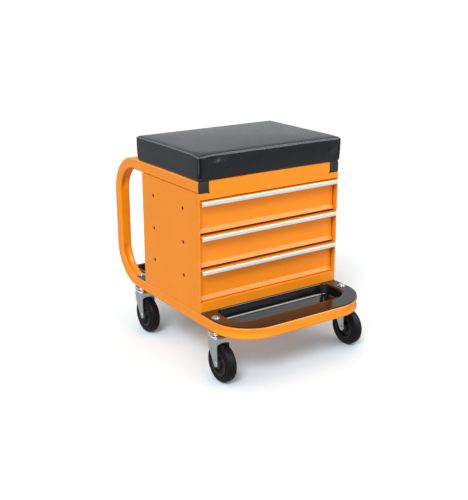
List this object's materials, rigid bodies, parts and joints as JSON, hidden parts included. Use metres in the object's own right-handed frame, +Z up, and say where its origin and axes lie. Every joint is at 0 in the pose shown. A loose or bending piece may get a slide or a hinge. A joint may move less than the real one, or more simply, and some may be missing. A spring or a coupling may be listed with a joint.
{
  "type": "creeper stool with drawers",
  "caption": "Wheeled workshop creeper stool: padded seat on a drawer cabinet in a bent square-tube frame, with tool trays front and rear and swivel castors.",
  "frame": {"origin": "on the floor, under the middle of the frame's footprint and of the cabinet", "axes": "front of the stool faces -Y, +X to the right seen from the front, +Z up"},
  "size_m": [0.378, 0.506, 0.472],
  "materials": {
    "frame_paint": "gloss orange powder coat on bent steel tube",
    "cabinet_paint": "satin-gloss orange powder coat on folded sheet steel",
    "drawer_paint": "satin-gloss orange powder coat on folded sheet steel",
    "cap_plastic": "fine grained moulded polyethylene",
    "vinyl": "grained black leatherette",
    "board": "raw birch plywood",
    "tray_plastic": "glossy thermoformed black plastic",
    "strip_aluminium": "satin anodised",
    "castor_zinc": "bright zinc plated pressed steel",
    "slide_zinc": "zinc plated rolled steel",
    "fastener_zinc": "zinc plated",
    "screw_black": "black oxide",
    "ball_steel": "polished bearing steel",
    "hub_plastic": "dark grey moulded nylon",
    "tyre_rubber": "black solid rubber"
  },
  "bodies": {
    "root": {"frame_tube": "frame_paint", "end_cap_left": "cap_plastic", "end_cap_right": "cap_plastic", "side_panel_left": "cabinet_paint", "side_panel_right": "cabinet_paint", "back_panel": "cabinet_paint", "top_rail": "cabinet_paint", "kick_rail": "cabinet_paint", "base_panel": "cabinet_paint", "seat_board": "board", "seat_cushion": "vinyl", "seat_screws": "fastener_zinc", "front_tray": "tray_plastic", "rear_tray": "tray_plastic", "castor_bolts": "fastener_zinc", "castor_washers": "fastener_zinc", "castor_nuts": "fastener_zinc", "slide_screws": "screw_black", "slide_outer_1": "slide_zinc", "slide_outer_2": "slide_zinc", "slide_outer_3": "slide_zinc", "castor_head_fl": "castor_zinc", "castor_head_fr": "castor_zinc", "castor_head_rl": "castor_zinc", "castor_head_rr": "castor_zinc", "castor_balls": "ball_steel"},
    "drawer_1": {"drawer_box_1": "drawer_paint", "drawer_front_1": "drawer_paint", "handle_strip_1": "strip_aluminium", "slide_inner_1": "slide_zinc"},
    "mid_slides_1": {"slide_mid_1": "slide_zinc", "slide_balls_1": "ball_steel"},
    "drawer_2": {"drawer_box_2": "drawer_paint", "drawer_front_2": "drawer_paint", "handle_strip_2": "strip_aluminium", "slide_inner_2": "slide_zinc"},
    "mid_slides_2": {"slide_mid_2": "slide_zinc", "slide_balls_2": "ball_steel"},
    "drawer_3": {"drawer_box_3": "drawer_paint", "drawer_front_3": "drawer_paint", "handle_strip_3": "strip_aluminium", "slide_inner_3": "slide_zinc"},
    "mid_slides_3": {"slide_mid_3": "slide_zinc", "slide_balls_3": "ball_steel"},
    "castor_fl": {"fork_fl": "castor_zinc", "axle_fl": "castor_zinc"},
    "wheel_fl": {"hub_fl": "hub_plastic", "tyre_fl": "tyre_rubber"},
    "castor_fr": {"fork_fr": "castor_zinc", "axle_fr": "castor_zinc"},
    "wheel_fr": {"hub_fr": "hub_plastic", "tyre_fr": "tyre_rubber"},
    "castor_rl": {"fork_rl": "castor_zinc", "axle_rl": "castor_zinc"},
    "wheel_rl": {"hub_rl": "hub_plastic", "tyre_rl": "tyre_rubber"},
    "castor_rr": {"fork_rr": "castor_zinc", "axle_rr": "castor_zinc"},
    "wheel_rr": {"hub_rr": "hub_plastic", "tyre_rr": "tyre_rubber"}
  },
  "joints": [
    {"name": "drawer_1_pull", "type": "slide", "parent": "root", "child": "drawer_1", "axis": [0, -1, 0], "range_m": [0, 0.19]},
    {"name": "mid_slides_1_travel", "type": "slide", "parent": "root", "child": "mid_slides_1", "axis": [0, -1, 0], "range_m": [0, 0.095]},
    {"name": "drawer_2_pull", "type": "slide", "parent": "root", "child": "drawer_2", "axis": [0, -1, 0], "range_m": [0, 0.19]},
    {"name": "mid_slides_2_travel", "type": "slide", "parent": "root", "child": "mid_slides_2", "axis": [0, -1, 0], "range_m": [0, 0.095]},
    {"name": "drawer_3_pull", "type": "slide", "parent": "root", "child": "drawer_3", "axis": [0, -1, 0], "range_m": [0, 0.19]},
    {"name": "mid_slides_3_travel", "type": "slide", "parent": "root", "child": "mid_slides_3", "axis": [0, -1, 0], "range_m": [0, 0.095]},
    {"name": "castor_fl_swivel", "type": "hinge", "parent": "root", "child": "castor_fl", "pos_m": [-0.17, -0.158, 0.0966], "axis": [0, 0, 1], "continuous": true},
    {"name": "wheel_fl_roll", "type": "hinge", "parent": "castor_fl", "child": "wheel_fl", "pos_m": [-0.17, -0.182, 0.0415], "axis": [1, 0, 0], "continuous": true},
    {"name": "castor_fr_swivel", "type": "hinge", "parent": "root", "child": "castor_fr", "pos_m": [0.17, -0.158, 0.0966], "axis": [0, 0, 1], "continuous": true},
    {"name": "wheel_fr_roll", "type": "hinge", "parent": "castor_fr", "child": "wheel_fr", "pos_m": [0.17, -0.182, 0.0415], "axis": [1, 0, 0], "continuous": true},
    {"name": "castor_rl_swivel", "type": "hinge", "parent": "root", "child": "castor_rl", "pos_m": [-0.17, 0.158, 0.0966], "axis": [0, 0, 1], "continuous": true},
    {"name": "wheel_rl_roll", "type": "hinge", "parent": "castor_rl", "child": "wheel_rl", "pos_m": [-0.17, 0.134, 0.0415], "axis": [1, 0, 0], "continuous": true},
    {"name": "castor_rr_swivel", "type": "hinge", "parent": "root", "child": "castor_rr", "pos_m": [0.17, 0.158, 0.0966], "axis": [0, 0, 1], "continuous": true},
    {"name": "wheel_rr_roll", "type": "hinge", "parent": "castor_rr", "child": "wheel_rr", "pos_m": [0.17, 0.134, 0.0415], "axis": [1, 0, 0], "continuous": true}
  ],
  "couplings": [
    {"joint": "mid_slides_1_travel", "follows": "drawer_1_pull", "ratio": 0.5},
    {"joint": "mid_slides_2_travel", "follows": "drawer_2_pull", "ratio": 0.5},
    {"joint": "mid_slides_3_travel", "follows": "drawer_3_pull", "ratio": 0.5}
  ]
}
